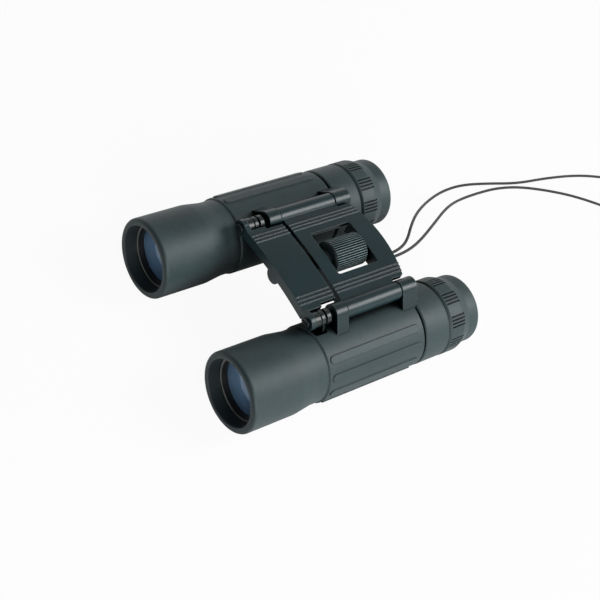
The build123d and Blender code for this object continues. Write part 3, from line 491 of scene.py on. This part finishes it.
# %% [markdown]
# ## Moulded plastic
# The focus wheel is a hard matt plastic. Painted shade darkens it between its ribs and in
# corners, and its crests are painted pale, partly as rubbing and partly as a painted highlight.
# The ribs are real solids, so the distance from the wheel's axis tells a crest from a groove,
# and no striped texture is needed. The same plastic, darker still, holds the prisms and the
# eyepiece lenses.

# %% Plastic measures
plastic_dark = (0.0060, 0.0115, 0.0130)
plastic_pale = (0.0105, 0.0180, 0.0200)
plastic_wear_and_highlight = (0.21, 0.3, 0.31)
plastic_shade = (0.002, 0.004, 0.0045)
plastic_edge, plastic_crease = 0.25 * millimetre, 0.8 * millimetre
plastic_skin_depth = 0.03 * millimetre
plastic_wear_share, plastic_crease_share = 0.5, 0.9

wheel_low, wheel_high = solid_box("focus_wheel")
wheel_radius = (wheel_high.x - wheel_low.x) / 2
wheel_ribs = {
    "axis": (wheel_low + wheel_high) / 2,
    "wear_and_highlight_from": wheel_radius - 0.0675 * millimetre,
    "wear_and_highlight_to": wheel_radius - 0.0075 * millimetre,
}
print("wheel radius", round(wheel_radius, 4), "plastic from", plastic_dark, "to", plastic_pale)


# %% Plastic finish
def moulded_finish(name, tone, ribs=None):
    f = Finish(name)
    spot = f.spot()
    fine = f.noise(spot, 3000.0)
    cloud = f.noise(spot, 120.0)
    # Ribbed: the crests are painted pale, partly as rubbing and partly as a painted highlight.
    if ribs:
        radius = f.from_axis(spot, ribs["axis"], twin=False)
        crests = f.spread(radius, ribs["wear_and_highlight_from"], ribs["wear_and_highlight_to"])
        worn = crests * f.spread(cloud, 0.3, 0.6, to_low=0.6)
    else:
        worn = f.worn_edges(plastic_edge) * plastic_wear_share
    cloudy = f.spread(cloud, 0.35, 0.7)
    base = f.mix(cloudy, toned(plastic_dark, tone), toned(plastic_pale, tone))
    # Painted shade: occlusion darkens the corners and the spaces between the ribs.
    base = f.mix(f.crease(plastic_crease) * plastic_crease_share, base, toned(plastic_shade))
    return f.skin(
        base_color=f.mix(worn, base, toned(plastic_wear_and_highlight)),
        roughness=f.spread(fine, 0.3, 0.7, to_low=0.5, to_high=0.64),
        normal=f.bump(fine, 0.12, plastic_skin_depth),
        specular_ior_level=0.2,
    )


wheel_plastic = moulded_finish("wheel_plastic", 1.0, ribs=wheel_ribs)
inner_plastic = moulded_finish("inner_plastic", 0.6)
print("plastic finishes:", [m.name for m in (wheel_plastic, inner_plastic)])

# %% [markdown]
# ## Turned metal
# The cells inside the barrels are anodised almost black with fine turned rings, so that stray
# light dies in them. Rings cut into the mesh would cost many faces, so noise that is squeezed
# along the barrel and drawn out across it gives them. Only the front of each objective cell is
# bare, as a bright ring. The same rings, on brighter metal, serve the focus screw, its nut and
# the clips.

# %% Turned finishes
turned_depth = 0.03 * millimetre


def turned_finish(name, colour, metallic, smooth, rough, rings, face=None):
    f = Finish(name)
    spot = f.spot()
    lathe = f.noise(f.stretch(spot, (12.0, rings, 12.0)), 1.0, detail=2.0)
    cloud = f.noise(spot, 180.0)
    base = f.mix(f.spread(cloud, 0.3, 0.7), toned(colour, 0.8), toned(colour, 1.2))
    if face:
        front = 1 - f.along(spot, "Y").above(face["end"])
        bared = front * f.spread(cloud, 0.25, 0.7, to_low=0.55)
        base = f.mix(bared, base, toned(face["colour"]))
    return f.skin(
        base_color=base,
        metallic=metallic,
        roughness=f.spread(lathe, 0.3, 0.7, smooth, rough),
        normal=f.bump(lathe, 0.2, turned_depth),
    )


anodised = {
    "colour": (0.012, 0.0125, 0.013),
    "metallic": 0.0,
    "smooth": 0.3,
    "rough": 0.5,
    "rings": 4200.0,
}
cell_low = solid_box("left_objective_cell")[0]
bare_front = {"end": cell_low.y + 0.05 * millimetre, "colour": (0.36, 0.37, 0.34)}
steel = (0.28, 0.28, 0.285)
brass = (0.36, 0.24, 0.1)
cell_black = turned_finish("cell_black", **anodised)
cell_fronts = turned_finish("cell_fronts", **anodised, face=bare_front)
steel_dark = turned_finish("steel_dark", steel, 1.0, smooth=0.28, rough=0.44, rings=2600.0)
brass_turned = turned_finish("brass_turned", brass, 1.0, smooth=0.3, rough=0.45, rings=2400.0)
print("turned finishes:", [m.name for m in (cell_black, cell_fronts, steel_dark, brass_turned)])

# %% [markdown]
# ## Glass
# Each objective carries a blue coating, so its reflections are tinted while the inside stays dark.
# A shiny blue disc would look flat from the side. The lenses are real solids, so refracting glass
# shows the elements one behind another, and the share of light that isn't let through gives the
# coating's own colour.


# %% Glass finishes
def glass_finish(name, colour, tint, ior, film, clear):
    f = Finish(name)
    smear = f.noise(f.spot(), 90.0, detail=4.0)
    return f.skin(
        base_color=f.mix(f.spread(smear, 0.3, 0.7), toned(colour, 0.9), toned(colour)),
        roughness=f.spread(smear, 0.35, 0.7, to_high=0.012),
        transmission_weight=clear,
        ior=ior,
        specular_ior_level=film,
        specular_tint=toned(tint),
    )


objective_glass = glass_finish(
    "objective_glass", (0.4, 0.68, 1.0), tint=(0.6, 0.75, 1.0), ior=1.7, film=0.55, clear=0.5
)
eye_glass = glass_finish(
    "eye_glass", (0.5, 0.55, 0.8), tint=(0.5, 0.55, 1.0), ior=1.6, film=0.7, clear=0.9
)
inner_glass = glass_finish(
    "inner_glass", (0.9, 0.95, 0.94), tint=(0.8, 0.9, 1.0), ior=1.55, film=0.5, clear=1.0
)
print("glass finishes:", [m.name for m in (objective_glass, eye_glass, inner_glass)])

# %% [markdown]
# ## Braided cord
# The cord is a tight round braid of dark thread. Its threads could be modelled one by one, but
# they are thinner than a pixel, so a bump of small even cells, drawn out along the barrels'
# direction, gives the braid, and a finer noise gives the fuzz of the threads.


# %% Cord finish
def braid_finish(name, dark, pale, bump_depth):
    f = Finish(name)
    spot = f.spot()
    fuzz = f.noise(spot, 2600.0)
    weave = f.node(
        "ShaderNodeTexVoronoi",
        {"feature": "F1", "distance": "CHEBYCHEV"},
        {"Vector": f.stretch(spot, (1.0, 0.6, 1.0)), "Scale": 2100.0, "Randomness": 0.35},
        "Distance",
    )
    height = 1 - f.spread(weave, 0.1, 0.8)
    return f.skin(
        base_color=f.mix(height * 0.6 + fuzz * 0.4, toned(dark), toned(pale)),
        roughness=f.spread(fuzz, 0.3, 0.7, to_low=0.62, to_high=0.82),
        normal=f.bump(height + fuzz * 0.3, 0.5, bump_depth),
        sheen_weight=0.2,
        sheen_roughness=0.5,
    )


thread_dark, thread_pale = (0.007, 0.009, 0.009), (0.038, 0.045, 0.044)
cord_braid = braid_finish("cord_braid", thread_dark, thread_pale, 0.12 * millimetre)
for piece in (strap, knot):
    piece.data.materials.append(cord_braid)
print("cord finish:", cord_braid.name)

# %% [markdown]
# ## Which finish goes where
# Both barrels are built alike, so one table by the piece's own name serves left and right.

# %% Put the finishes on the solids
finish_of = {
    "hood": hood_rubber,
    "grip": grip_rubber,
    "eyecup": cup_rubber,
    "collar": cup_rubber,
    "diopter_ring": cup_rubber,
    "barrel_tube": lug_paint,
    "bridge_front": plate_paint,
    "bridge_rear": plate_paint,
    "focus_rod": rod_black,
    "hinge_pin": rod_black,
    "rod_screws": rod_black,
    "focus_arm": rod_black,
    "focus_wheel": wheel_plastic,
    "prism_holder": inner_plastic,
    "ocular_cell": inner_plastic,
    "objective_cell": cell_fronts,
    "objective_ring": cell_black,
    "ocular_spacer": cell_black,
    "ocular_ring": cell_black,
    "field_stop": cell_black,
    "prism_clip": steel_dark,
    "screw_clip": steel_dark,
    "focus_screw": brass_turned,
    "focus_nut": brass_turned,
    "objective_crown": objective_glass,
    "eye_lens": eye_glass,
    "objective_flint": inner_glass,
    "penta_prism": inner_glass,
    "roof_prism": inner_glass,
    "field_lens": inner_glass,
}
finished = []
for name, solid in nodes.items():
    finish = finish_of.get(name.removeprefix("left_").removeprefix("right_"))
    if finish:
        solid.data.materials.clear()
        solid.data.materials.append(finish)
        finished.append(name)
print("solids with a finish:", len(finished))

# %% [markdown]
# ## The studio
# A pale floor meets a pale surround. Stronger lamps could make them white, but they would bleach
# the object too. So the camera sees both as white, while for the light that falls on the object
# they stay at a plain level. The floor is mostly its own white with a share of ordinary
# shading, so that a soft shadow still grounds the object. Close under the object, reflections
# see less of that white: a painted shadow. The surround is dimmer overhead and in front, which
# keeps the tops and the front rims as dark as they should be.


# %% Which rays see the background
def ray_kind(f, kind):
    return f.node("ShaderNodeLightPath", output=f"Is {kind} Ray")


def background_rays(f):
    """1 where the camera looks, straight, by reflection or through glass."""
    straight, mirrored, through = (ray_kind(f, k) for k in ("Camera", "Glossy", "Transmission"))
    return straight.largest(mirrored).largest(through)


print("background shows to camera, glossy and transmission rays")

# %% Floor
floor_reach = 4.0
floor_white_share = 0.94
floor_shadow_reach = 0.05
floor_for_light = toned((0.25, 0.25, 0.25))
floor_for_camera = toned((0.86, 0.86, 0.86))
white = toned((1, 1, 1))

floor_mesh = bpy.data.meshes.new("floor")
floor_signs = [(-1, -1), (1, -1), (1, 1), (-1, 1)]
floor_corners = [(x * floor_reach, y * floor_reach, 0) for x, y in floor_signs]
floor_mesh.from_pydata(floor_corners, [], [(0, 1, 2, 3)])
floor = bpy.data.objects.new("floor", floor_mesh)
bpy.context.scene.collection.objects.link(floor)

paper = Finish("floor_paper")
seen = background_rays(paper)
# Painted shadow: glossy rays see less white where the object is close above the floor.
shadow_in_reflections = ray_kind(paper, "Glossy") * paper.crease(floor_shadow_reach)
paper_colour = paper.mix(seen, floor_for_light, floor_for_camera)
matt = paper.node("ShaderNodeBsdfDiffuse", None, {"Color": paper_colour})
glow = paper.node("ShaderNodeEmission", None, {"Color": white, "Strength": 1.0})
glow_share = seen * floor_white_share * (1 - shadow_in_reflections)
paper.show(paper.node("ShaderNodeMixShader", None, {0: glow_share, 1: matt, 2: glow}))
floor.data.materials.append(paper.owner)
print("floor reaches", floor_reach, "m each way")

# %% Surround
plain_level, overhead_level, front_level = 0.35, 0.3, 0.4
surround = bpy.data.worlds.new("surround")
bpy.context.scene.world = surround
sky = Finish("surround", surround)
direction = sky.node("ShaderNodeTexCoord", output="Generated")
by_height = sky.spread(sky.along(direction, "Z"), 0.1, 0.75, to_low=1.0, to_high=overhead_level)
by_front = sky.spread(sky.along(direction, "Y"), -0.9, 0.2, to_low=front_level)
level = background_rays(sky) * (1 - plain_level) + plain_level
strength = ray_kind(sky, "Camera").largest(by_height * by_front * level)
sky.show(sky.node("ShaderNodeBackground", None, {"Color": white, "Strength": strength}))
print("surround ready:", surround.name)

# %% [markdown]
# ## The lamps
# The light comes softly from above, from the picture's right and a little behind. A second lamp
# stands lower, in front on the right. Point lamps would give hard shadows and small sparks, so
# both are large discs, which give soft edges to every highlight.

# %% Hang the lamps
lamp_target = Vector((0, 0, 0.02))


def soft_lamp(name, place, size, power):
    data = bpy.data.lights.new(name, "AREA")
    data.shape = "DISK"
    data.size = size
    data.energy = power
    lamp = bpy.data.objects.new(name, data)
    lamp.location = place
    aimed = lamp_target - Vector(place)
    lamp.rotation_euler = aimed.to_track_quat("-Z", "Y").to_euler()
    bpy.context.scene.collection.objects.link(lamp)
    return lamp


back_lamp = soft_lamp("back_lamp", (0.38, 0.55, 0.68), size=0.56, power=5.6)
side_lamp = soft_lamp("side_lamp", (0.9, -0.35, 0.35), size=0.7, power=6.5)
bpy.context.scene.view_settings.view_transform = "Standard"
print("lamps:", [lamp.name for lamp in (back_lamp, side_lamp)])
